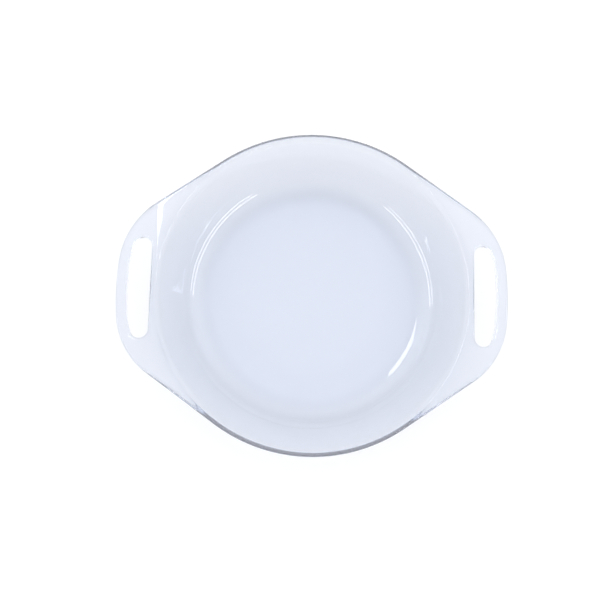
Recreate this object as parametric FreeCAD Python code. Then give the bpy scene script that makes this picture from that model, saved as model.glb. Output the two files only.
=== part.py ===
"""Round pressed-glass baking dish with two wing handles, one solid piece of clear glass.

Millimetres. The origin is the middle of the base, on the surface that the dish stands on.
+X runs through both handles and +Z is up.
"""
import FreeCAD, Part
import math
import os

# Seen from above: a round rim whose outline runs off along two straight flanks into each handle.
RIM_RADIUS = 128.0
HANDLE_REACH = 27.0
FLANK_ANGLE = 35.0
HANDLE_CORNER_RADIUS = 62.0
HANDLE_END_RADIUS = 235.0

# Seen from the side: a flat floor, a wide curve and a straight wall that leans out to the rim.
HEIGHT = 50.0
FLOOR_THICKNESS = 5.0
FLOOR_CURVE_RADIUS = 25.0
WALL_LEAN_ANGLE = 30.0
RIM_WIDTH = 4.5
RIM_WALL = 4.2

# The foot: a flat ring round a shallow recess, so that the dish stands without rocking.
FOOT_RING_WIDTH = 9.0
FOOT_RECESS_DEPTH = 0.6
FOOT_RECESS_SLOPE = 14.0

# The wing handles: a plate at rim level that bends slightly down along a straight crease.
WING_THICKNESS = 6.0
CREASE_INSIDE_RIM = 4.4
WING_DROOP_ANGLE = 8.0
CREASE_INNER_RADIUS = 8.0

# The finger slots.
SLOT_LENGTH = 80.0
SLOT_TO_MOUTH = 4.0
HANDLE_BAR_WIDTH = 9.0

# Rounded edges. FLAT_LEFT is the least flat glass between two of them.
MOUTH_ROUND = 2.4
EDGE_ROUND = 2.5
SLOT_ROUND = 2.2
UNDER_RIM_ROUND = 6.0
FLAT_LEFT = 0.3

# What follows from the sizes above.
LEAN = math.radians(WALL_LEAN_ANGLE)
DROOP = math.radians(WING_DROOP_ANGLE)
HALF_LENGTH = RIM_RADIUS + HANDLE_REACH
MOUTH_RADIUS = RIM_RADIUS - RIM_WIDTH
WALL_LENGTH = (HEIGHT - FLOOR_THICKNESS - FLOOR_CURVE_RADIUS * (1 - math.sin(LEAN))) / math.cos(LEAN)
FLOOR_RADIUS = MOUTH_RADIUS - FLOOR_CURVE_RADIUS * math.cos(LEAN) - WALL_LENGTH * math.sin(LEAN)
PLATE_UNDERSIDE = HEIGHT - WING_THICKNESS
CREASE_TO_CENTRE = RIM_RADIUS - CREASE_INSIDE_RIM
SLOT_INNER_SIDE = MOUTH_RADIUS + SLOT_TO_MOUTH
MOUTH_SETBACK = MOUTH_ROUND * math.tan(math.pi / 4 - LEAN / 2)
SPARE = 10.0


def point(x, y, z=0.0):
    return FreeCAD.Vector(x, y, z)


def polar(angle, radius=1.0):
    return point(radius * math.cos(angle), radius * math.sin(angle))


def line(start, end):
    return Part.LineSegment(start, end).toShape()


def arc(start, middle, end):
    return Part.Arc(start, middle, end).toShape()


def arc_about(centre, radius, from_angle, to_angle):
    middle = (from_angle + to_angle) / 2
    return arc(centre + polar(from_angle, radius), centre + polar(middle, radius), centre + polar(to_angle, radius))


def angle_of(vector):
    return math.atan2(vector.y, vector.x)


def handle_corner():
    """Centre of the arc between a flank and the handle's end, and where that arc starts and stops.

    The flank touches the rim circle. The arc touches the flank, and touches the end arc from inside.
    """
    flank_normal = math.pi / 2 - math.radians(FLANK_ANGLE)
    outward = polar(flank_normal - math.pi / 2)
    end_centre = point(HALF_LENGTH - HANDLE_END_RADIUS, 0)
    foot = polar(flank_normal, RIM_RADIUS - HANDLE_CORNER_RADIUS)
    offset = foot - end_centre
    reach = HANDLE_END_RADIUS - HANDLE_CORNER_RADIUS
    along = offset.dot(outward)
    run = math.sqrt(along ** 2 - offset.dot(offset) + reach ** 2) - along
    centre = foot + outward * run
    return centre, flank_normal, angle_of(centre - end_centre)


def mirrored(edges, normal):
    return [edge.mirror(point(0, 0), normal) for edge in edges]


def closed_face(edges):
    return Part.Face(Part.Wire(Part.__sortEdges__(edges)))


def outline_edges():
    """Plan outline of the whole dish, worked out for one quarter and mirrored twice."""
    centre, flank_normal, end_angle = handle_corner()
    end_centre = point(HALF_LENGTH - HANDLE_END_RADIUS, 0)
    corner_top = centre + polar(flank_normal, HANDLE_CORNER_RADIUS)
    quarter = [
        arc_about(end_centre, HANDLE_END_RADIUS, 0, end_angle),
        arc_about(centre, HANDLE_CORNER_RADIUS, end_angle, flank_normal),
        line(corner_top, polar(flank_normal, RIM_RADIUS)),
        arc_about(point(0, 0), RIM_RADIUS, flank_normal, math.pi / 2),
    ]
    half = quarter + mirrored(quarter, point(0, 1))
    return half + mirrored(half, point(1, 0))


def slot_end(side_centre, side_radius):
    """The round end of a slot: an arc that touches its straight side, its far end and its curved side.

    Returns the arc's centre and radius, and the direction in which it touches the curved side.
    """
    across = SLOT_INNER_SIDE - side_centre.x
    up = SLOT_LENGTH / 2 - side_centre.y
    half_b = across - up + side_radius
    radius = math.sqrt(half_b ** 2 + side_radius ** 2 - across ** 2 - up ** 2) - half_b
    centre = point(SLOT_INNER_SIDE + radius, SLOT_LENGTH / 2 - radius)
    return centre, radius, angle_of(centre - side_centre)


def slot_edges():
    """Finger slot of the +X handle: straight inside, and parallel to the handle's outline outside.

    A long slot ends on the part of that outline round the handle's corner, a short one before it.
    """
    corner_centre, flank_normal, corner_start = handle_corner()
    end_centre = point(HALF_LENGTH - HANDLE_END_RADIUS, 0)
    end_radius = HANDLE_END_RADIUS - HANDLE_BAR_WIDTH
    corner_radius = HANDLE_CORNER_RADIUS - HANDLE_BAR_WIDTH
    centre, radius, touch = slot_end(corner_centre, corner_radius)
    if touch > corner_start:
        side = [
            arc_about(end_centre, end_radius, 0, corner_start),
            arc_about(corner_centre, corner_radius, corner_start, touch),
        ]
    else:
        centre, radius, touch = slot_end(end_centre, end_radius)
        side = [arc_about(end_centre, end_radius, 0, touch)]
    end = arc_about(centre, radius, touch, math.pi)
    straight = line(point(SLOT_INNER_SIDE, centre.y), point(SLOT_INNER_SIDE, 0))
    upper = side + [end, straight]
    return upper + mirrored(upper, point(0, 1))


def upright_prism(edges):
    """A prism on a plan outline, from below the dish to above it."""
    face = closed_face(edges)
    face.translate(point(0, 0, -SPARE))
    return face.extrude(point(0, 0, HEIGHT + 2 * SPARE))


def bent_line(level, radius):
    """One side of the wing plate's section: level to the crease, a bend, then down to the tip."""
    setback = (CREASE_INNER_RADIUS + WING_THICKNESS) * math.tan(DROOP / 2)
    bend = point(CREASE_TO_CENTRE - setback, 0, level - radius)
    half_way = bend + point(radius * math.sin(DROOP / 2), 0, radius * math.cos(DROOP / 2))
    after = bend + point(radius * math.sin(DROOP), 0, radius * math.cos(DROOP))
    run = (HALF_LENGTH + SPARE - after.x) / math.cos(DROOP)
    tip = after + point(run * math.cos(DROOP), 0, -run * math.sin(DROOP))
    start = bend + point(0, 0, radius)
    edges = [line(point(0, 0, level), start), arc(start, half_way, after), line(after, tip)]
    return edges, tip


def wing_plate():
    """The plate that both handles belong to, bent along the two creases and not yet cut to outline."""
    top, top_tip = bent_line(HEIGHT, CREASE_INNER_RADIUS + WING_THICKNESS)
    under, under_tip = bent_line(PLATE_UNDERSIDE, CREASE_INNER_RADIUS)
    right = top + under + [line(top_tip, under_tip)]
    width = 2 * (RIM_RADIUS + SPARE)
    section = closed_face(right + mirrored(right, point(1, 0)))
    section.translate(point(0, -width / 2, 0))
    return section.extrude(point(0, width, 0))


def tangent_from(outside, centre, radius):
    """Where the line from an outside point touches a circle on its lower right, in the XZ plane."""
    gap = outside - centre
    direction = math.atan2(gap.z, gap.x) - math.acos(radius / gap.Length)
    return centre + point(radius * math.cos(direction), 0, radius * math.sin(direction))


def curved_floor_to_wall(level, radius, wall_end):
    """Flat floor's edge, quarter-like curve and straight wall of one skin of the bowl."""
    start = point(FLOOR_RADIUS, 0, level)
    centre = start + point(0, 0, radius)
    end = tangent_from(wall_end, centre, radius)
    turn = (math.atan2(end.z - centre.z, end.x - centre.x) - math.pi / 2) / 2
    middle = centre + point(radius * math.cos(turn), 0, radius * math.sin(turn))
    return [arc(start, middle, end), line(end, wall_end)]


def revolved(edges):
    return closed_face(edges).revolve(point(0, 0), point(0, 0, 1), 360)


def wall_outside(level):
    """Point on the bowl's outer skin at a height near the rim, a wall's thickness off the inner skin."""
    inside = MOUTH_RADIUS + (level - HEIGHT) * math.tan(LEAN)
    return point(inside + RIM_WALL / math.cos(LEAN), 0, level)


def bowl_outside():
    """Bowl as a full turned body, from the foot up into the wing plate."""
    top = wall_outside(HEIGHT - WING_THICKNESS / 2)
    ring_inside = FLOOR_RADIUS - FOOT_RING_WIDTH
    recess_edge = point(ring_inside - FOOT_RECESS_SLOPE, 0, FOOT_RECESS_DEPTH)
    recess_centre = point(0, 0, FOOT_RECESS_DEPTH)
    foot = [
        line(point(0, 0, top.z), recess_centre),
        line(recess_centre, recess_edge),
        line(recess_edge, point(ring_inside, 0, 0)),
        line(point(ring_inside, 0, 0), point(FLOOR_RADIUS, 0, 0)),
    ]
    skin = curved_floor_to_wall(0, FLOOR_CURVE_RADIUS + FLOOR_THICKNESS, top)
    return revolved(foot + skin + [line(top, point(0, 0, top.z))])


def bowl_inside():
    """The space for the food, open upwards past the rim."""
    mouth = point(MOUTH_RADIUS, 0, HEIGHT)
    past_mouth = mouth + point(SPARE * math.tan(LEAN), 0, SPARE)
    skin = curved_floor_to_wall(FLOOR_THICKNESS, FLOOR_CURVE_RADIUS, mouth)
    floor_centre = point(0, 0, FLOOR_THICKNESS)
    closing = [
        line(floor_centre, point(FLOOR_RADIUS, 0, FLOOR_THICKNESS)),
        line(mouth, past_mouth),
        line(past_mouth, point(0, 0, past_mouth.z)),
        line(point(0, 0, past_mouth.z), floor_centre),
    ]
    return revolved(skin + closing)


def level_edges(shape, test):
    """Edges that run more level than upright, and whose middle passes a test."""
    chosen = []
    for edge in shape.Edges:
        middle = (edge.FirstParameter + edge.LastParameter) / 2
        if edge.Length > 0.01 and abs(edge.tangentAt(middle).z) < 0.5 and test(edge.valueAt(middle)):
            chosen.append(edge)
    return chosen


def near_plan_curve(edges):
    """Test for points that lie straight above or below a plan curve."""
    curve = Part.Compound(edges)
    return lambda p: curve.distToShape(Part.Vertex(p.x, p.y, 0))[0] < 0.02


def near_radius(radius, low, high):
    """Test for points at a radius from the bowl's axis, between two heights."""
    return lambda p: abs(math.hypot(p.x, p.y) - radius) < 2 and low < p.z < high


def baking_dish():
    blank = wing_plate().fuse(bowl_outside())
    corner = wall_outside(PLATE_UNDERSIDE)
    under_rim = level_edges(blank, near_radius(corner.x, PLATE_UNDERSIDE - 2, PLATE_UNDERSIDE + 1))
    blank = blank.makeFillet(UNDER_RIM_ROUND, under_rim)
    outline = outline_edges()
    dish = blank.common(upright_prism(outline))
    dish = dish.cut(bowl_inside())
    slot = slot_edges()
    slots = slot + mirrored(slot, point(1, 0))
    right_slot = upright_prism(slot)
    dish = dish.cut(right_slot).cut(right_slot.mirror(point(0, 0), point(1, 0)))
    dish = dish.removeSplitter()
    half_plate = (WING_THICKNESS - FLAT_LEFT) / 2
    edge_round = min(EDGE_ROUND, half_plate, RIM_WIDTH - MOUTH_SETBACK - FLAT_LEFT)
    slot_round = min(SLOT_ROUND, half_plate, SLOT_TO_MOUTH - MOUTH_SETBACK - FLAT_LEFT)
    dish = dish.makeFillet(edge_round, level_edges(dish, near_plan_curve(outline)))
    dish = dish.makeFillet(slot_round, level_edges(dish, near_plan_curve(slots)))
    mouth = near_radius(MOUTH_RADIUS, HEIGHT - 1, HEIGHT + 1)
    return dish.makeFillet(MOUTH_ROUND, level_edges(dish, mouth))


def write(name, shape):
    solid = shape.Solids[0]
    print(name, "solids", len(shape.Solids), "valid", solid.isValid(), "volume_mm3", round(solid.Volume))
    solid.exportStep(os.path.join("parts", name + ".step"))


os.makedirs("parts", exist_ok=True)
write("baking_dish", baking_dish())
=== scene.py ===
"""Looks of a round pressed-glass baking dish with two slotted wing handles, on a pale floor in soft light.

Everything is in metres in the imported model's frame: the origin is the middle of the base, +X runs
through both handles and +Z is up. The dish's own sizes are in millimetres and become metres when
its mesh is made. Angles are in radians unless a name says degrees.
"""
import math

import bpy
import numpy as np
from mathutils import Matrix, Vector


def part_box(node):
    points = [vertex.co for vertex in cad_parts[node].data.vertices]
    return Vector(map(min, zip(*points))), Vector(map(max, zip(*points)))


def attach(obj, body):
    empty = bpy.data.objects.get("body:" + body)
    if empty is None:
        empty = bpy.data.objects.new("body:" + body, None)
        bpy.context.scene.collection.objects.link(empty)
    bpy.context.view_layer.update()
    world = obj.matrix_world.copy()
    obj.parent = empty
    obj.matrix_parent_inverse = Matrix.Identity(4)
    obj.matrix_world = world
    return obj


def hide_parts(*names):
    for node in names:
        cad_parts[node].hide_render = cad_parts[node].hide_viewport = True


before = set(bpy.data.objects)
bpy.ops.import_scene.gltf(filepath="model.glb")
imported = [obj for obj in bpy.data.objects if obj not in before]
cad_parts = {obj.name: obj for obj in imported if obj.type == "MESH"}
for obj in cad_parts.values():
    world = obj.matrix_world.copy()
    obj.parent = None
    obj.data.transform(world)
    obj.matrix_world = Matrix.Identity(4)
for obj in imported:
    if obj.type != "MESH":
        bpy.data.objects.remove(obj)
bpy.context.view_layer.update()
MM = 0.001
RIGHT_ANGLE = math.pi / 2

# The dish in millimetres. Its reach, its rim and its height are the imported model's own.
HALF_LENGTH, RIM_RADIUS, HEIGHT = (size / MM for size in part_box("baking_dish")[1])

# The outline: straight flanks leave the rim's circle at a slant from the handles' line, and a corner
# arc joins each to the long arc at the handle's end.
FLANK_SLANT_DEGREES = 35
FLANK_NORMAL = math.radians(90 - FLANK_SLANT_DEGREES)
HANDLE_CORNER_RADIUS = 62.0
HANDLE_END_RADIUS = 235.0

# The bowl's inside, the width of its rim, and the foot ring round a shallow recess under it.
FLOOR_THICKNESS = 5.0
FLOOR_CURVE_RADIUS = 25.0
WALL_LEAN = math.radians(30)
RIM_WIDTH = 4.5
FOOT_RING_WIDTH = 9.0
FOOT_RECESS_DEPTH = 0.6
FOOT_RECESS_SLOPE = 14.0

# The wings: plates that bend down along a straight crease, with a finger slot in each.
WING_THICKNESS = 6.0
WING_DROOP = math.radians(8)
CREASE_INSIDE_RIM = 4.4
CREASE_INNER_RADIUS = 8.0
SLOT_LENGTH = 80.0
SLOT_TO_MOUTH = 4.0
HANDLE_BAR_WIDTH = 9.0

# The radii of the roundings.
MOUTH_ROUND = 2.4
EDGE_ROUND = 2.5
RIM_ROUND = 1.6
SLOT_ROUND = 2.2
UNDER_RIM_ROUND = 6.0

# Where the rim is bare of wings it is thinner, its mouth is rounded less, and its outer edge goes
# this share of the way to a plain one. All of it fades out from where the flanks leave the rim's
# circle to this much nearer the handles' line.
RIM_THINNING = 1.3
MOUTH_SHARPENING = 1.1
RIM_PLAINNESS = 0.72
WING_EDGE_FADE = 55.0

# Sizes that follow from the ones above.
MOUTH_RADIUS = RIM_RADIUS - RIM_WIDTH
UNDER_CURVE_RADIUS = FLOOR_CURVE_RADIUS + FLOOR_THICKNESS
CURVE_CENTRE_LEVEL = FLOOR_THICKNESS + FLOOR_CURVE_RADIUS
CURVE_TOP_LEVEL = CURVE_CENTRE_LEVEL - FLOOR_CURVE_RADIUS * math.sin(WALL_LEAN)
FLOOR_RADIUS = (MOUTH_RADIUS - FLOOR_CURVE_RADIUS * math.cos(WALL_LEAN)
                - (HEIGHT - CURVE_TOP_LEVEL) * math.tan(WALL_LEAN))
PLATE_UNDERSIDE = HEIGHT - WING_THICKNESS
CREASE_OUTER_RADIUS = CREASE_INNER_RADIUS + WING_THICKNESS
BEND_START = RIM_RADIUS - CREASE_INSIDE_RIM - CREASE_OUTER_RADIUS * math.tan(WING_DROOP / 2)
SLOT_INNER_SIDE = MOUTH_RADIUS + SLOT_TO_MOUTH

# How finely the dish is drawn: columns in a quarter of its outline, and rows in each part of it.
QUARTER_COLUMNS = 150
CURVE_ROWS = 16
WALL_ROWS = 8
ROUND_ROWS = 8
PLATE_ROWS = 15
FLOOR_ROWS = 7
SLOT_LAYERS = 9
# A ring this far inside a flat face's edge keeps the smooth shading from bending the face.
HOLDING_GAP = 0.8
# This share of a plate's rows lies within a short reach of its inner ring, where it curves most.
CLOSE_ROWS = 0.6
CLOSE_REACH = 6.0
# The columns that run along X meet the outline's own Y at this radius, just outside the mouth.
SQUARE_COLUMN_RADIUS = MOUTH_RADIUS + 1.0
# From this far to each side of the handles' line, the columns point straight away from the axis.
RADIAL_COLUMNS_FROM = 0.8 * RIM_RADIUS
# The window left in a plate for its slot reaches this far to each side of the handles' line. Its
# corners are joined to the slot's edge at these shares of the slot's round end.
SLOT_WINDOW = SLOT_LENGTH / 2 + 8.0
INNER_CORNER_SHARE = 0.27
OUTER_CORNER_SHARE = 0.80
# How often results that need each other are worked out in turn, how far to each side a slope is
# measured, and how many decimals of a millimetre tell two points apart.
SETTLING_ROUNDS = 20
SMALL_STEP = 0.01
WELD_DECIMALS = 5


def turned_to(angle):
    """Unit vectors at an angle from +X: the angle's cosine and sine."""
    return np.stack([np.cos(angle), np.sin(angle)], axis=-1)


def eased(share):
    """A share of 0 to 1 with level ends: three times its square less twice its cube."""
    return share * share * (3 - 2 * share)


def arc(centre, radius, start, end):
    """One arc of a plan line: points are the centre plus the radius turned to the angle reached."""
    def at(share):
        way = turned_to(start + (end - start) * share)
        return centre + radius * way, way
    return radius * abs(end - start), at


def straight(start, end, normal):
    """One straight piece of a plan line: points are a blend of its two ends."""
    def at(share):
        return start + (end - start) * share[:, None], np.broadcast_to(normal, (len(share), 2))
    return float(np.linalg.norm(end - start)), at


def chain_length(pieces):
    """Length of a chain of arcs and straight pieces: the sum of theirs."""
    return sum(length for length, at in pieces)


def along(pieces, travel):
    """Points and normals at distances travelled along a chain of arcs and straight pieces.

    Each distance is given to the last piece that begins before it, as a share of that piece's length.
    """
    points = np.zeros((len(travel), 2))
    normals = np.zeros((len(travel), 2))
    begun = 0.0
    for length, at in pieces:
        reached = (travel >= begun)[:, None]
        here, way = at(np.clip((travel - begun) / length, 0, 1))
        points = np.where(reached, here, points)
        normals = np.where(reached, way, normals)
        begun += length
    return points, normals


def handle_corner():
    """Centres of the handle's corner arc and end arc, and the angle at which the two arcs meet.

    The corner's centre lies its radius inside the flank's line, and as far from the end arc's centre
    as the two radii differ. The distance along the flank solves the quadratic that this gives.
    """
    end_centre = np.array([HALF_LENGTH - HANDLE_END_RADIUS, 0.0])
    foot = turned_to(FLANK_NORMAL) * (RIM_RADIUS - HANDLE_CORNER_RADIUS)
    outward = turned_to(FLANK_NORMAL - RIGHT_ANGLE)
    offset = foot - end_centre
    reach = HANDLE_END_RADIUS - HANDLE_CORNER_RADIUS
    across = offset @ outward
    centre = foot + outward * (math.sqrt(across ** 2 - offset @ offset + reach ** 2) - across)
    return centre, end_centre, math.atan2(centre[1], centre[0] - end_centre[0])


def outline_quarter():
    """The dish's outline from the tip of the +X handle to the rim's +Y side: arc, arc, straight, arc."""
    centre, end_centre, corner_start = handle_corner()
    way = turned_to(FLANK_NORMAL)
    return [
        arc(end_centre, HANDLE_END_RADIUS, 0, corner_start),
        arc(centre, HANDLE_CORNER_RADIUS, corner_start, FLANK_NORMAL),
        straight(centre + way * HANDLE_CORNER_RADIUS, way * RIM_RADIUS, way),
        arc(np.zeros(2), RIM_RADIUS, FLANK_NORMAL, RIGHT_ANGLE),
    ]


def slot_half():
    """The +X slot's edge from the middle of its inner side to the middle of its outer side.

    The outer side is the handle's outline moved in by the bar's width. The round end touches it, the
    straight inner side and the slot's far end, and its radius solves the quadratic that this gives.
    """
    corner, end_centre, corner_start = handle_corner()
    corner_radius = HANDLE_CORNER_RADIUS - HANDLE_BAR_WIDTH
    across = SLOT_INNER_SIDE - corner[0]
    up = SLOT_LENGTH / 2 - corner[1]
    half_middle = across - up + corner_radius
    radius = math.sqrt(half_middle ** 2 + corner_radius ** 2 - across ** 2 - up ** 2) - half_middle
    centre = np.array([SLOT_INNER_SIDE + radius, SLOT_LENGTH / 2 - radius])
    touch = math.atan2(centre[1] - corner[1], centre[0] - corner[0])
    start = np.array([SLOT_INNER_SIDE, 0.0])
    side_end = np.array([SLOT_INNER_SIDE, centre[1]])
    return [
        straight(start, side_end, np.array([-1.0, 0.0])),
        arc(centre, radius, math.pi, touch),
        arc(corner, corner_radius, touch, corner_start),
        arc(end_centre, HANDLE_END_RADIUS - HANDLE_BAR_WIDTH, corner_start, 0),
    ]


def all_round(quarter):
    """A full ring from values on a quarter: mirrored across Y, turned half round, mirrored across X."""
    second = quarter[:0:-1] * [-1, 1]
    return np.concatenate([quarter[:-1], second, -quarter[:-1], -second])


def half_turn(points):
    """The same points turned half round the upright axis."""
    return points * [-1, -1, 1]


def lifted(plan, height):
    """Plan points with their heights, as one array of x, y, z."""
    return np.concatenate([plan, np.broadcast_to(height, plan.shape[:-1])[..., None]], axis=-1)


def ring(distance, level, angle):
    """A ring of points at a distance from the axis and a level, one at each polar angle."""
    return lifted(turned_to(angle) * np.broadcast_to(distance, angle.shape)[:, None], level)


def plate_height(x, level, bend_radius):
    """One face of the wing plate: level, then an arc about the crease, then a straight fall."""
    past = np.clip(np.abs(x) - BEND_START, 0, None)
    in_bend = np.minimum(past, bend_radius * math.sin(WING_DROOP))
    sag = bend_radius - np.sqrt(bend_radius ** 2 - in_bend ** 2)
    return level - sag - (past - in_bend) * math.tan(WING_DROOP)


def top_face(plan):
    """Height of the plate's top face: its arc is the crease's outer one."""
    return plate_height(plan[..., 0], HEIGHT, CREASE_OUTER_RADIUS)


def plate_underside(plan):
    """Height of the plate's lower face: its arc is the crease's inner one."""
    return plate_height(plan[..., 0], PLATE_UNDERSIDE, CREASE_INNER_RADIUS)


def outer_wall():
    """Top point and lean of the bowl's outer wall, the line that touches two balls from outside.

    One ball rounds the rim's outer edge, and the other is the wide curve under the floor's edge. The
    line's lean is the angle whose cosine is the radii's difference over the distance between the
    balls' centres, less the climb from one centre to the other.
    """
    ball = RIM_RADIUS - RIM_ROUND
    ball_level = HEIGHT - RIM_ROUND
    across = ball - FLOOR_RADIUS
    up = ball_level - CURVE_CENTRE_LEVEL
    larger_by = UNDER_CURVE_RADIUS - RIM_ROUND
    lean = math.acos(larger_by / math.hypot(across, up)) - math.atan2(up, across)
    touch = (ball + RIM_ROUND * math.cos(lean), ball_level - RIM_ROUND * math.sin(lean))
    return touch, lean


OUTER_TOP, OUTER_LEAN = outer_wall()


def height_and_slope(face, start, way, distance):
    """Height and slope of a face at a distance from a start point, along a way.

    The height is the mean of the heights a small step ahead and behind, and the slope is their
    difference over both steps.
    """
    ahead = face(start + way * (distance + SMALL_STEP)[..., None])
    behind = face(start + way * (distance - SMALL_STEP)[..., None])
    return (ahead + behind) / 2, (ahead - behind) / (2 * SMALL_STEP)


def ball_by_wall(angle, radius, face, wall_top, lean):
    """A ball that touches a plate from below and a leaning wall from outside, by polar angle.

    Its centre lies one radius under the face, measured square to it, and one radius off the wall.
    Each rule needs the other's result, so they are applied in turn until they settle.
    Returns the centre's distance from the axis, its height, and the turn of the plate's normal.
    """
    way = turned_to(angle)
    distance = np.full(np.shape(angle), wall_top[0])
    for _ in range(SETTLING_ROUNDS):
        height, slope = height_and_slope(face, 0.0, way, distance)
        level = height - radius * np.sqrt(1 + slope ** 2)
        rise = level + radius * math.sin(lean) - wall_top[1]
        distance = wall_top[0] + rise * math.tan(lean) + radius * math.cos(lean)
    return distance, level, np.arctan(-slope)


def hollow_under_rim(angle):
    """The ball that hollows the corner of the outer wall and the plate, and where the wall ends at it."""
    centre, level, turn = ball_by_wall(angle, UNDER_RIM_ROUND, plate_underside, OUTER_TOP, OUTER_LEAN)
    return centre, level, turn, centre - UNDER_RIM_ROUND * math.cos(OUTER_LEAN)


def under_face(plan):
    """Underside of the dish out from its wall: the wall's line, then a hollow arc, then the plate."""
    distance = np.hypot(plan[..., 0], plan[..., 1])
    angle = np.arctan2(plan[..., 1], plan[..., 0])
    centre, level, turn, wall_end = hollow_under_rim(angle)
    wall_end_level = level + UNDER_RIM_ROUND * math.sin(OUTER_LEAN)
    on_wall = wall_end_level + (distance - wall_end) / math.tan(OUTER_LEAN)
    on_arc = level + np.sqrt(np.clip(UNDER_RIM_ROUND ** 2 - (distance - centre) ** 2, 0, None))
    plate_start = centre + UNDER_RIM_ROUND * np.sin(turn)
    return np.select([distance < wall_end, distance < plate_start], [on_wall, on_arc],
                     plate_underside(plan))


def edge_round(points, normals, radius, face, side):
    """Rows of a rounded edge from a face to the upright edge, on top (side 1) or below (side -1).

    A ball that touches the upright edge rolls along it in the glass. Where it touches the face follows
    from the face's slope there, found in turn until it settles. The rows are the ball's arc between.
    """
    bite = np.full(len(points), radius)
    for _ in range(SETTLING_ROUNDS):
        height, slope = height_and_slope(face, points, -normals, bite)
        lean = np.arctan(-side * slope)
        bite = radius * (1 + np.sin(lean))
    level = height - side * radius * np.cos(lean)
    share = np.linspace(0, 1, ROUND_ROWS + 1)[:, None]
    turn = lean + (-RIGHT_ANGLE - lean) * share
    plan = points - normals * (radius * (1 + np.sin(turn)))[..., None]
    return lifted(plan, level + side * radius * np.cos(turn))


def whole_edge(points, normals, radius):
    """A rounded edge from the top face over the upright side to the underside."""
    above = edge_round(points, normals, radius, top_face, 1)
    below = edge_round(points, normals, radius, under_face, -1)
    return np.concatenate([above, below[::-1]])


def plain_rim(points, normals, wall_end):
    """Rows of a plain rim: a small rounding, then a straight line down to the outer wall's end.

    They come in two parts, with as many rows as the rounded edge and the plate's underside have, so
    that the rim can be blended from those to these.
    """
    turn = np.linspace(0, RIGHT_ANGLE + OUTER_LEAN, ROUND_ROWS + 1)[:, None]
    plan = points - normals * (RIM_ROUND * (1 - np.sin(turn)))[..., None]
    rounding = lifted(plan, HEIGHT - RIM_ROUND + RIM_ROUND * np.cos(turn))
    share = np.linspace(0, 1, ROUND_ROWS + 2 + PLATE_ROWS)[1:, None, None]
    down = rounding[-1] + (wall_end - rounding[-1]) * share
    return np.concatenate([rounding, down[:ROUND_ROWS + 1]]), down[:ROUND_ROWS - 1:-1]


def bare_share(points):
    """How bare of wings the rim is at each column: 1 along the rim's own arcs, 0 along the handles."""
    inside_flanks = RIM_RADIUS * math.sin(FLANK_NORMAL) - np.abs(points[:, 1])
    return 1 - eased(np.clip(inside_flanks / WING_EDGE_FADE, 0, 1))


def rounded_section(centre, level, radius, turns, angle):
    """Rows of an arc in the radial plane. A turn of 0 points up and one of a right angle outwards."""
    return np.stack([ring(centre + radius * np.sin(turn), level + radius * np.cos(turn), angle)
                     for turn in turns])


def straight_section(start, end, rows):
    """Rows that go in even steps from a start ring to an end ring."""
    share = np.linspace(0, 1, rows + 1)[:, None, None]
    return start + (end - start) * share


def floor_distances(radius):
    """Even steps from the middle of a round floor to its edge, with the last step cut a little short."""
    spread = np.linspace(0, radius, FLOOR_ROWS + 1)[1:]
    return np.append(spread[:-1], radius - HOLDING_GAP)


def inner_skin(angle, bare):
    """Floor, wide curve, straight wall and rounded mouth, from the middle of the floor outwards.

    Where the rim is bare of wings it is a little thinner, and its mouth is rounded less.
    """
    floor = np.stack([ring(distance, FLOOR_THICKNESS, angle) for distance in floor_distances(FLOOR_RADIUS)])
    turns = math.pi - np.linspace(0, RIGHT_ANGLE - WALL_LEAN, CURVE_ROWS + 1)
    curve = rounded_section(FLOOR_RADIUS, CURVE_CENTRE_LEVEL, FLOOR_CURVE_RADIUS, turns, angle)
    wall_top = (MOUTH_RADIUS + RIM_THINNING * bare, HEIGHT)
    mouth_round = MOUTH_ROUND - MOUTH_SHARPENING * bare
    centre, level, last = ball_by_wall(angle, mouth_round, top_face, wall_top, WALL_LEAN)
    first = WALL_LEAN - RIGHT_ANGLE
    turns = [first + (last - first) * share for share in np.linspace(0, 1, ROUND_ROWS + 1)]
    mouth = rounded_section(centre, level, mouth_round, turns, angle)
    wall = straight_section(curve[-1], mouth[0], WALL_ROWS)
    return np.concatenate([floor, curve[:-1], wall[:-1], mouth])


def outer_skin(angle, top):
    """Outer wall from the hollow under the rim, wide curve, foot ring and shallow recess.

    The recess rises from the foot ring by an eased share of its depth, and is flat further in.
    """
    turns = np.linspace(RIGHT_ANGLE + OUTER_LEAN, math.pi, CURVE_ROWS + 1)
    curve = rounded_section(FLOOR_RADIUS, CURVE_CENTRE_LEVEL, UNDER_CURVE_RADIUS, turns, angle)
    wall = straight_section(top, curve[0], WALL_ROWS)
    ring_inside = FLOOR_RADIUS - FOOT_RING_WIDTH
    recess_inside = ring_inside - FOOT_RECESS_SLOPE
    flat = np.array([FLOOR_RADIUS - HOLDING_GAP, ring_inside + HOLDING_GAP])
    slope = ring_inside - FOOT_RECESS_SLOPE * np.linspace(0, 1, ROUND_ROWS + 1)
    inside = recess_inside - np.linspace(0, recess_inside, FLOOR_ROWS + 1)[1:-1]
    distances = np.concatenate([flat, slope, inside])
    rise = np.clip((ring_inside - distances) / FOOT_RECESS_SLOPE, 0, 1)
    levels = FOOT_RECESS_DEPTH * eased(rise)
    foot = np.stack([ring(distance, level, angle) for distance, level in zip(distances, levels)])
    return np.concatenate([wall[:-1], curve, foot])


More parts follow.
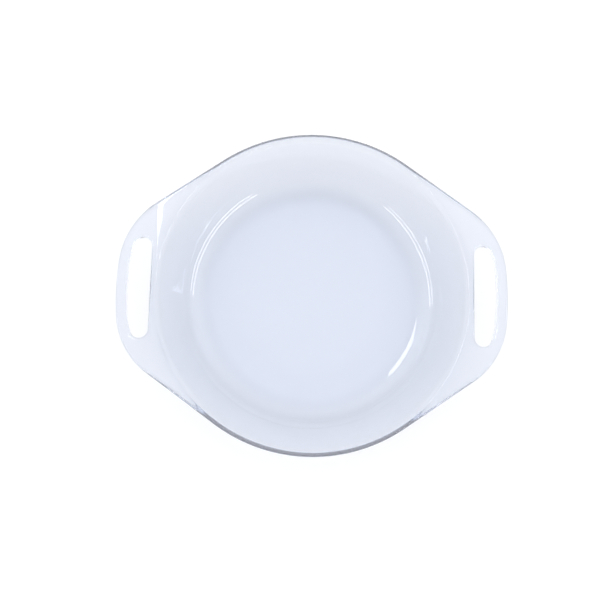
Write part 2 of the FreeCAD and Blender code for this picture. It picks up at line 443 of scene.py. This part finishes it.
def plate_strip(inner, outer, face):
    """Rows of one face of the plate, from its inner ring to its outer ring in plan.

    Most rows lie close to the inner ring, in even steps, and the others are spread over the rest.
    """
    length = np.linalg.norm(outer - inner, axis=1)
    close = np.minimum(CLOSE_REACH / length, CLOSE_ROWS)
    share = np.linspace(0, 1, PLATE_ROWS + 1)[:, None]
    far = close + (share - CLOSE_ROWS) / (1 - CLOSE_ROWS) * (1 - close)
    share = np.where(share < CLOSE_ROWS, share / CLOSE_ROWS * close, far)
    plan = inner + (outer - inner) * share[..., None]
    return lifted(plan, face(plan))


def window_border(strip, window):
    """The loop round a slot's window in a strip: out along its inner ring, and back along its outer ring."""
    columns = np.arange(-window, window + 1)
    return np.concatenate([strip[0, columns], strip[1:, window], strip[-1, columns[-2::-1]],
                           strip[-2:0:-1, -window]])


def slot_edge_loop(window):
    """Slot edge points and normals into the slot, one for each point of the window's border.

    The border's four sides are spread evenly over four parts of the slot's edge, which meet on its
    round ends. Distances beyond the first half of the edge are its mirror image's.
    """
    pieces = slot_half()
    half = chain_length(pieces)
    side = pieces[0][0]
    end = pieces[1][0]
    first = side + INNER_CORNER_SHARE * end
    second = side + OUTER_CORNER_SHARE * end
    inner = np.linspace(-first, first, 2 * window + 1)
    upper = np.linspace(first, second, PLATE_ROWS + 1)[1:-1]
    outer = np.linspace(second, 2 * half - second, 2 * window + 1)
    lower = np.linspace(-second, -first, PLATE_ROWS + 1)[1:-1] + 2 * half
    travel = np.concatenate([inner, upper, outer, lower])
    signed = (travel + half) % (2 * half) - half
    points, normals = along(pieces, np.abs(signed))
    mirror = np.stack([np.ones(len(signed)), np.where(signed < 0, -1.0, 1.0)], axis=1)
    return points * mirror, -normals * mirror


def slot_collar(border, hole, face):
    """Layers of one face from the window's border to the slot's rounded edge, blended in plan."""
    share = np.linspace(0, 1, SLOT_LAYERS + 1)[1:-1, None, None]
    plan = border[:, :2] + (hole[:, :2] - border[:, :2]) * share
    return np.concatenate([border[None], lifted(plan, face(plan)), hole[None]])


def quads(rows, columns, closed):
    """Corner numbers of a grid's faces, row by row. A closed grid joins its last column to its first."""
    row = np.arange(rows - 1)[:, None]
    column = np.arange(columns if closed else columns - 1)[None, :]
    beside = (column + 1) % columns
    corners = [row * columns + column, (row + 1) * columns + column,
               (row + 1) * columns + beside, row * columns + beside]
    return np.stack(corners, axis=-1).reshape(-1, 4)


def column_angles(points):
    """Polar angle of each column of the bowl, for a quarter of the outline's points, all the way round.

    In the wings the columns run along X, so that they cross the crease squarely: the angle is the one
    whose sine is the outline's Y over a radius. It blends to the outline point's own angle.
    """
    across = points[:, 1]
    squarely = np.arcsin(np.clip(across / SQUARE_COLUMN_RADIUS, 0, 1))
    outward = np.arctan2(across, points[:, 0])
    blend = np.clip((across - SLOT_WINDOW) / (RADIAL_COLUMNS_FROM - SLOT_WINDOW), 0, 1)
    ways = all_round(turned_to(squarely + (outward - squarely) * blend))
    return np.arctan2(ways[:, 1], ways[:, 0])


def dish_grids():
    """Every part of the dish's skin as a grid of points and whether its columns close.

    Columns run round the dish, evenly spaced along its outline. The first three grids are the bowl's
    inside, the outer edge and the bowl's outside. The plate's two faces run between them, with a
    window in each wing that is filled by layers round its slot.
    """
    pieces = outline_quarter()
    points, normals = along(pieces, np.linspace(0, chain_length(pieces), QUARTER_COLUMNS + 1))
    angle = column_angles(points)
    points = all_round(points)
    normals = all_round(normals)
    bare = bare_share(points)

    inside = inner_skin(angle, bare)
    edge = whole_edge(points, normals, EDGE_ROUND)
    wall_end = turned_to(angle) * hollow_under_rim(angle)[-1][:, None]
    under = plate_strip(wall_end, edge[-1, :, :2], under_face)
    plain_edge, plain_under = plain_rim(points, normals, under[0])
    winged = (1 - RIM_PLAINNESS * bare)[:, None]
    edge = plain_edge + (edge - plain_edge) * winged
    under = plain_under + (under - plain_under) * winged
    top = plate_strip(inside[-1, :, :2], edge[0, :, :2], top_face)
    outside = outer_skin(angle, under[0])
    inside[-1] = top[0]
    edge[0] = top[-1]
    edge[-1] = under[-1]

    window = int(np.searchsorted(points[:QUARTER_COLUMNS, 1], SLOT_WINDOW))
    hole, hole_normals = slot_edge_loop(window)
    slot = whole_edge(hole, hole_normals, SLOT_ROUND)
    upper = slot_collar(window_border(top, window), slot[0], top_face)
    lower = slot_collar(window_border(under, window), slot[-1], under_face)
    between = slice(window, 2 * QUARTER_COLUMNS - window + 1)
    grids = [(inside, True), (edge, True), (outside, True)]
    for part, closed in ((top[:, between], False), (under[::-1, between], False),
                         (upper, True), (slot, True), (lower[::-1], True)):
        grids += [(part, closed), (half_turn(part), closed)]
    return grids


def make_dish():
    """One closed mesh: the grids side by side, a middle point in each floor, and equal points made one.

    Triangles fan out from the middle points to the first ring of the bowl's inside and the last one
    of its outside. Adding zero turns minus zero into zero, so that equal points are found equal.
    """
    grids = dish_grids()
    points = []
    faces = []
    count = 0
    for grid, closed in grids:
        rows, columns = grid.shape[:2]
        points.append(grid.reshape(-1, 3))
        faces.append(quads(rows, columns, closed) + count)
        count += rows * columns
    around = 4 * QUARTER_COLUMNS
    here = np.arange(around)
    beside = (here + 1) % around
    last_ring = sum(grid.shape[0] * grid.shape[1] for grid, closed in grids[:3]) - around
    middles = np.array([[0, 0, FLOOR_THICKNESS], [0, 0, FOOT_RECESS_DEPTH]])
    points = np.round(np.concatenate(points + [middles]), WELD_DECIMALS) + 0.0
    floor_fan = np.stack([np.full(around, count), here, beside], axis=1)
    foot_fan = np.stack([np.full(around, count + 1), beside + last_ring, here + last_ring], axis=1)
    points, number = np.unique(points, axis=0, return_inverse=True)
    number = number.reshape(-1)
    blocks = (np.concatenate(faces), floor_fan, foot_fan)
    polygons = [corners for block in blocks for corners in number[block].tolist()]
    mesh = bpy.data.meshes.new("baking_dish_glass")
    mesh.from_pydata((points * MM).tolist(), [], polygons)
    mesh.shade_smooth()
    dish = bpy.data.objects.new("baking_dish_glass", mesh)
    bpy.context.scene.collection.objects.link(dish)
    return dish


# Pressed glass: the tint of what comes through it, which goes over to a dark painted shade where its
# surface is seen edge on, and the colour and density of what it swallows along the way.
GLASS_IOR = 1.5
GLASS_TINT = (0.864, 0.886, 0.936)
# Painted shade: the glass darkens to this colour where its surface is seen edge on, standing in for the dark
# lines that internal reflections give along its edges.
EDGE_PAINTED_SHADE = (0.20, 0.21, 0.23)
EDGE_SHADE_SHARPNESS = 4.0
GLASS_DEEP_TINT = (0.0, 0.13, 0.40)
GLASS_DENSITY = 15.0
# The mould's marks: waves of the surface, and patches of it that are polished a little less. A
# patch's roughness goes from none to the dullest between two values of its noise.
RIPPLES_PER_METRE = 22.0
RIPPLE_HEIGHT = 0.09 * MM
RIPPLE_DETAIL = 1.0
RIPPLE_FINENESS = 0.4
PATCHES_PER_METRE = 60.0
PATCH_DETAIL = 3.0
POLISHED_BELOW = 0.35
DULLEST_ABOVE = 0.7
DULLEST_POLISH = 0.03
# Light that is caught between the two sides of the glass is let out after a few reflections, tinted.
CAUGHT_AFTER = 2.5
LEAK_TINT = (0.905, 0.895, 0.885)

# Numbers of the sockets whose names are the same on one node, or are shared with sockets of other kinds.
FIRST, SECOND, THIRD = 0, 1, 2
COLOUR_A, COLOUR_B, COLOUR_RESULT = 6, 7, 2


def colour(values):
    """A colour's three values with a fourth of one, as a socket takes them."""
    return (*values, 1.0)


def link(tree, source, output, target, socket):
    """Joins one node's output to another's input."""
    tree.links.new(source.outputs[output], target.inputs[socket])


def add_node(tree, kind, **inputs):
    """A new node with values for the inputs named, whose names have an underscore for each space."""
    node = tree.nodes.new(kind)
    for name, value in inputs.items():
        node.inputs[name.replace("_", " ")].default_value = value
    return node


def add_maths(tree, operation, second=None):
    """A new maths node, with a value for its second input where one is given."""
    node = tree.nodes.new("ShaderNodeMath")
    node.operation = operation
    if second is not None:
        node.inputs[SECOND].default_value = second
    return node


def pressed_surface():
    """Node group: the faint waviness and the faint uneven polish that a mould leaves on pressed glass.

    One noise over the object's coordinates is the height of a bump. Another, cut off below and above,
    is the roughness.
    """
    group = bpy.data.node_groups.new("pressed_surface", "ShaderNodeTree")
    for name, value in (("Ripples per Metre", RIPPLES_PER_METRE),
                        ("Ripple Height", RIPPLE_HEIGHT),
                        ("Polish Patches per Metre", PATCHES_PER_METRE)):
        socket = group.interface.new_socket(name, in_out="INPUT", socket_type="NodeSocketFloat")
        socket.default_value = value
    group.interface.new_socket("Roughness", in_out="OUTPUT", socket_type="NodeSocketFloat")
    group.interface.new_socket("Normal", in_out="OUTPUT", socket_type="NodeSocketVector")
    given = group.nodes.new("NodeGroupInput")
    result = group.nodes.new("NodeGroupOutput")
    where = group.nodes.new("ShaderNodeTexCoord")
    ripples = add_node(group, "ShaderNodeTexNoise", Detail=RIPPLE_DETAIL, Roughness=RIPPLE_FINENESS)
    patches = add_node(group, "ShaderNodeTexNoise", Detail=PATCH_DETAIL)
    for noise, scale in ((ripples, "Ripples per Metre"), (patches, "Polish Patches per Metre")):
        link(group, where, "Object", noise, "Vector")
        link(group, given, scale, noise, "Scale")
    bump = group.nodes.new("ShaderNodeBump")
    link(group, ripples, "Fac", bump, "Height")
    link(group, given, "Ripple Height", bump, "Distance")
    link(group, bump, "Normal", result, "Normal")
    polish = add_node(group, "ShaderNodeMapRange", From_Min=POLISHED_BELOW, From_Max=DULLEST_ABOVE,
                      To_Max=DULLEST_POLISH)
    link(group, patches, "Fac", polish, "Value")
    link(group, polish, "Result", result, "Roughness")
    return group


def clear_glass():
    """Clear pressed glass with a faint cool tint.

    The tint blends to a dark painted shade by a power of how far the surface is turned away from the
    view, standing in for the dark lines seen along the glass's edges, and the glass swallows a little
    of the light along the way. Light that has been reflected more than a few times passes straight
    through, where the renderer would give up and paint black.
    """
    material = bpy.data.materials.new("clear_glass")
    material.use_nodes = True
    tree = material.node_tree
    output = tree.nodes["Material Output"]
    shader = tree.nodes["Principled BSDF"]
    shader.inputs["IOR"].default_value = GLASS_IOR
    shader.inputs["Transmission Weight"].default_value = 1.0
    surface = tree.nodes.new("ShaderNodeGroup")
    surface.node_tree = pressed_surface()
    link(tree, surface, "Roughness", shader, "Roughness")
    link(tree, surface, "Normal", shader, "Normal")
    # Painted shade: the glass's colour goes dark where its surface is seen edge on.
    facing = add_node(tree, "ShaderNodeLayerWeight", Blend=0.5)
    edge_shade_mask = add_maths(tree, "POWER", EDGE_SHADE_SHARPNESS)
    link(tree, facing, "Facing", edge_shade_mask, FIRST)
    tint_and_edge_shade = tree.nodes.new("ShaderNodeMix")
    tint_and_edge_shade.data_type = "RGBA"
    tint_and_edge_shade.inputs[COLOUR_A].default_value = colour(GLASS_TINT)
    tint_and_edge_shade.inputs[COLOUR_B].default_value = colour(EDGE_PAINTED_SHADE)
    link(tree, edge_shade_mask, "Value", tint_and_edge_shade, FIRST)
    link(tree, tint_and_edge_shade, COLOUR_RESULT, shader, "Base Color")
    inside = add_node(tree, "ShaderNodeVolumeAbsorption", Color=colour(GLASS_DEEP_TINT),
                      Density=GLASS_DENSITY)
    link(tree, inside, "Volume", output, "Volume")
    path = tree.nodes.new("ShaderNodeLightPath")
    caught = add_maths(tree, "GREATER_THAN", CAUGHT_AFTER)
    link(tree, path, "Glossy Depth", caught, FIRST)
    leak = add_node(tree, "ShaderNodeBsdfTransparent", Color=colour(LEAK_TINT))
    either = tree.nodes.new("ShaderNodeMixShader")
    link(tree, caught, "Value", either, FIRST)
    link(tree, shader, "BSDF", either, SECOND)
    link(tree, leak, "BSDF", either, THIRD)
    link(tree, either, "Shader", output, "Surface")
    return material


# The floor lies just under the foot ring, so that the two never share a plane.
FLOOR_GAP = 0.05 * MM
FLOOR_HALF_WIDTH = 3.0
FLOOR_COLOUR = (0.9, 0.9, 0.9)
FLOOR_ROUGHNESS = 0.9


def make_floor():
    """A plain pale floor: one square without any gloss."""
    half = FLOOR_HALF_WIDTH
    mesh = bpy.data.meshes.new("floor")
    corners = [(-half, -half), (half, -half), (half, half), (-half, half)]
    mesh.from_pydata([(x, y, -FLOOR_GAP) for x, y in corners], [], [(0, 1, 2, 3)])
    floor = bpy.data.objects.new("floor", mesh)
    bpy.context.scene.collection.objects.link(floor)
    material = bpy.data.materials.new("pale_floor")
    material.use_nodes = True
    shader = material.node_tree.nodes["Principled BSDF"]
    shader.inputs["Base Color"].default_value = colour(FLOOR_COLOUR)
    shader.inputs["Roughness"].default_value = FLOOR_ROUGHNESS
    shader.inputs["Specular IOR Level"].default_value = 0.0
    mesh.materials.append(material)


# The soft light: a dome that is brightest overhead, dimmer towards the horizon and dimmest there in
# front and behind. It is at full brightness where the upward part of a direction's unit vector
# reaches a set value. In one direction it is raised by a share of itself, and opposite it lowered.
DOME_TOP = 1.43
DOME_FULL_FROM = 0.8
HORIZON_SIDES = 0.45
HORIZON_FRONT = 0.22
BRIGHTER_SIDE = (0.0, 0.5, 0.0)


def make_dome():
    """World light: two smooth steps, over the sideways part of a direction and over its upward part.

    The first gives the brightness at the horizon, and the second goes from that to the brightness
    overhead. The result is multiplied by one plus the direction's part towards the brighter side.
    """
    world = bpy.data.worlds.new("studio")
    bpy.context.scene.world = world
    world.use_nodes = True
    tree = world.node_tree
    where = tree.nodes.new("ShaderNodeTexCoord")
    split = tree.nodes.new("ShaderNodeSeparateXYZ")
    link(tree, where, "Generated", split, "Vector")
    sideways = add_maths(tree, "ABSOLUTE")
    link(tree, split, "X", sideways, FIRST)
    horizon = add_node(tree, "ShaderNodeMapRange", To_Min=HORIZON_FRONT, To_Max=HORIZON_SIDES)
    horizon.interpolation_type = "SMOOTHSTEP"
    link(tree, sideways, "Value", horizon, "Value")
    dome = add_node(tree, "ShaderNodeMapRange", From_Max=DOME_FULL_FROM, To_Max=DOME_TOP)
    dome.interpolation_type = "SMOOTHSTEP"
    link(tree, split, "Z", dome, "Value")
    link(tree, horizon, "Result", dome, "To Min")
    towards = tree.nodes.new("ShaderNodeVectorMath")
    towards.operation = "DOT_PRODUCT"
    towards.inputs[SECOND].default_value = BRIGHTER_SIDE
    link(tree, where, "Generated", towards, FIRST)
    uneven = add_maths(tree, "MULTIPLY_ADD")
    link(tree, towards, "Value", uneven, FIRST)
    link(tree, dome, "Result", uneven, SECOND)
    link(tree, dome, "Result", uneven, THIRD)
    background = tree.nodes["Background"]
    background.inputs["Color"].default_value = colour((1.0, 1.0, 1.0))
    link(tree, uneven, "Value", background, "Strength")


# The panels: name, azimuth and elevation in degrees, width and height in metres, and brightness.
PANEL_DISTANCE = 2.0
PANELS = (
    ("left_strip", 198, 26, 2.1, 0.13, 10.0),
    ("low_left_strip", 198, 13, 2.1, 0.10, 11.0),
    ("right_strip", 337, 26, 2.3, 0.13, 10.0),
    ("low_right_strip", 337, 13, 2.3, 0.10, 11.0),
    ("window", 133, 63, 0.38, 0.45, 7.0),
)


def make_panel(name, azimuth, elevation, width, height, radiance):
    """A flat light that faces the dish's top and is seen only as a reflection.

    Its power is its brightness times pi times its area.
    """
    data = bpy.data.lights.new(name, "AREA")
    data.shape = "RECTANGLE"
    data.size = width
    data.size_y = height
    data.energy = radiance * math.pi * width * height
    panel = bpy.data.objects.new(name, data)
    bpy.context.scene.collection.objects.link(panel)
    turn = math.radians(azimuth)
    climb = math.radians(elevation)
    away = Vector((math.cos(turn) * math.cos(climb), math.sin(turn) * math.cos(climb), math.sin(climb)))
    panel.location = away * PANEL_DISTANCE + Vector((0, 0, HEIGHT * MM))
    panel.rotation_euler = away.to_track_quat("Z", "Y").to_euler()
    panel.visible_camera = False
    panel.visible_diffuse = False
    panel.visible_transmission = False


# The camera: where it looks, how far back it stands, how it leans off the vertical to the front and
# to the side, how it is turned about its own axis, and its focal length in pixels of the image.
CAMERA_AIM = Vector((-9.5, -7.4, 50.0)) * MM
CAMERA_DISTANCE = 650.0 * MM
CAMERA_TILT = math.radians(8.47)
CAMERA_SIDE = math.radians(-0.30)
CAMERA_ROLL = math.radians(1.51)
FOCAL_PIXELS = 831.1
IMAGE_PIXELS = 600.0
SENSOR_WIDTH_MM = 36.0
NEAREST_SEEN = 0.02
FARTHEST_SEEN = 20.0


def make_camera():
    """Looks down on the dish from a little in front, rolled so that the dish looks turned clockwise."""
    data = bpy.data.cameras.new("camera")
    data.sensor_width = SENSOR_WIDTH_MM
    data.lens = FOCAL_PIXELS / IMAGE_PIXELS * SENSOR_WIDTH_MM
    data.clip_start = NEAREST_SEEN
    data.clip_end = FARTHEST_SEEN
    camera = bpy.data.objects.new("camera", data)
    bpy.context.scene.collection.objects.link(camera)
    back = Vector((math.sin(CAMERA_SIDE) * math.cos(CAMERA_TILT), -math.sin(CAMERA_TILT),
                   math.cos(CAMERA_TILT) * math.cos(CAMERA_SIDE)))
    right = (-back).cross(Vector((0, 1, 0))).normalized()
    up = back.cross(right)
    turn = Matrix((right, up, back)).transposed() @ Matrix.Rotation(CAMERA_ROLL, 3, "Z")
    camera.matrix_world = Matrix.Translation(CAMERA_AIM + back * CAMERA_DISTANCE) @ turn.to_4x4()
    bpy.context.scene.camera = camera


dish = make_dish()
dish.data.materials.append(clear_glass())
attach(dish, "root")
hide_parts("baking_dish")
make_floor()
make_dome()
for panel in PANELS:
    make_panel(*panel)
make_camera()
scene = bpy.context.scene
scene.view_settings.view_transform = "Standard"
# Blurred reflections would dim what is seen through smooth glass.
scene.cycles.blur_glossy = 0.0
